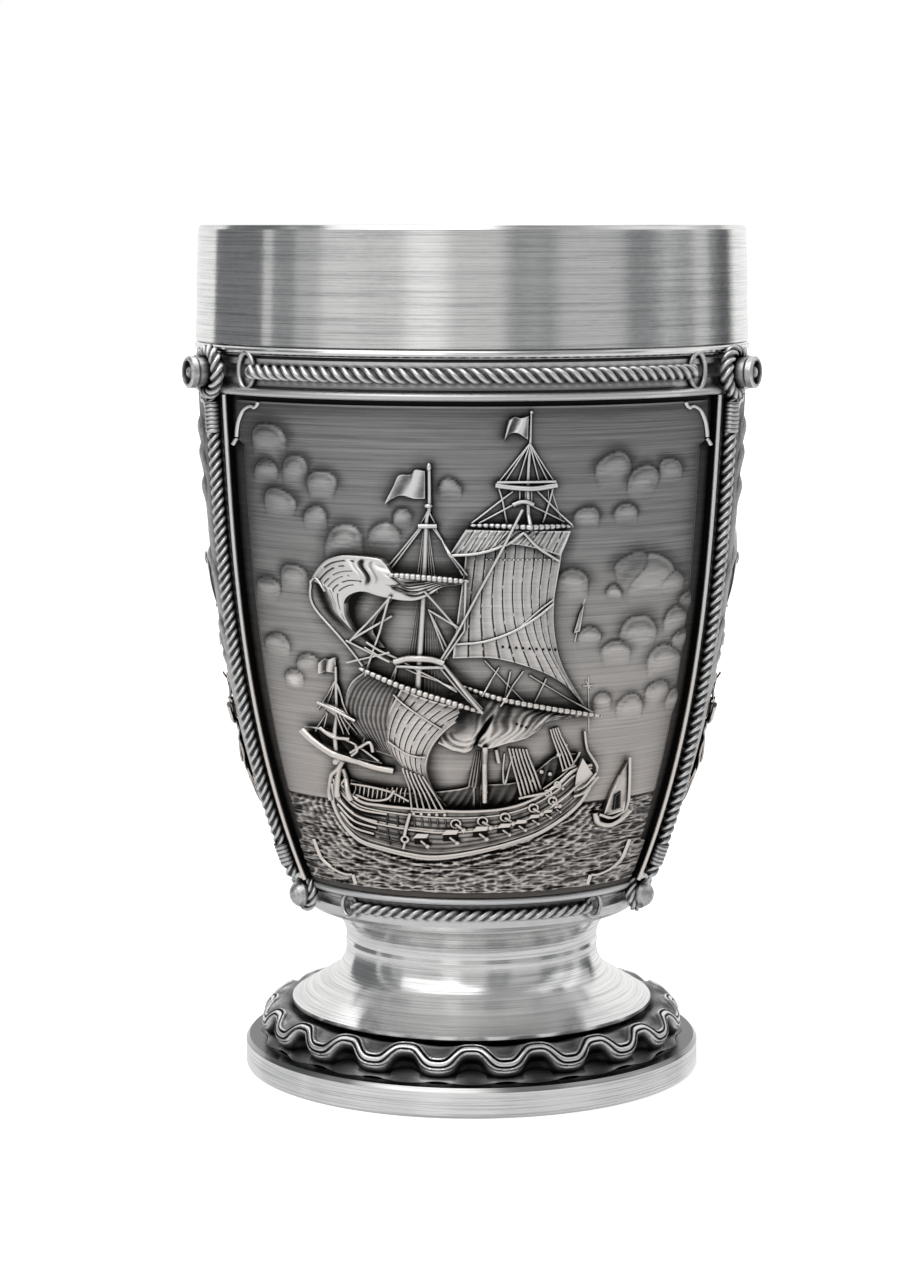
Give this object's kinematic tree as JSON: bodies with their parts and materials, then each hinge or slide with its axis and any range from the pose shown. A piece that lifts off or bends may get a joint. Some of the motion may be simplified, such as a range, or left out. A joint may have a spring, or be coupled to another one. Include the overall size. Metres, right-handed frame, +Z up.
{
  "type": "shot glass",
  "caption": "Footed pewter shot cup with a brushed rim, rope-bound posts, cast sailing ship plates and a wavy foot ring.",
  "frame": {"origin": "centre of the underside of the base, where the cup rests", "axes": "+Z up along the cup's axis, -Y out of the front picture plate, +X to its right"},
  "size_m": [0.0424, 0.0441, 0.0635],
  "materials": {
    "brushed_pewter": "turned pewter, brushed around the axis",
    "antique_pewter": "cast pewter, blackened in the hollows and wiped bright on the edges",
    "relief_pewter": "cast pewter relief with dark patina and polished high places",
    "rope_pewter": "cast pewter trim, bright crowns and black grooves"
  },
  "bodies": {
    "root": {"bowl": "brushed_pewter", "upper_collar": "antique_pewter", "lower_collar": "antique_pewter", "panel_front": "relief_pewter", "panel_right": "relief_pewter", "panel_left": "relief_pewter", "post_right": "antique_pewter", "post_back": "antique_pewter", "post_left": "antique_pewter", "rope_right": "rope_pewter", "rope_back": "rope_pewter", "rope_left": "rope_pewter", "upper_rope_front": "rope_pewter", "upper_rope_right": "rope_pewter", "upper_rope_left": "rope_pewter", "lower_rope_front": "rope_pewter", "lower_rope_right": "rope_pewter", "lower_rope_left": "rope_pewter", "upper_eyelets": "rope_pewter", "lower_eyelets": "rope_pewter", "studs": "rope_pewter", "knobs": "rope_pewter", "stem": "brushed_pewter", "wave_ring": "antique_pewter", "base": "brushed_pewter"}
  },
  "joints": []
}
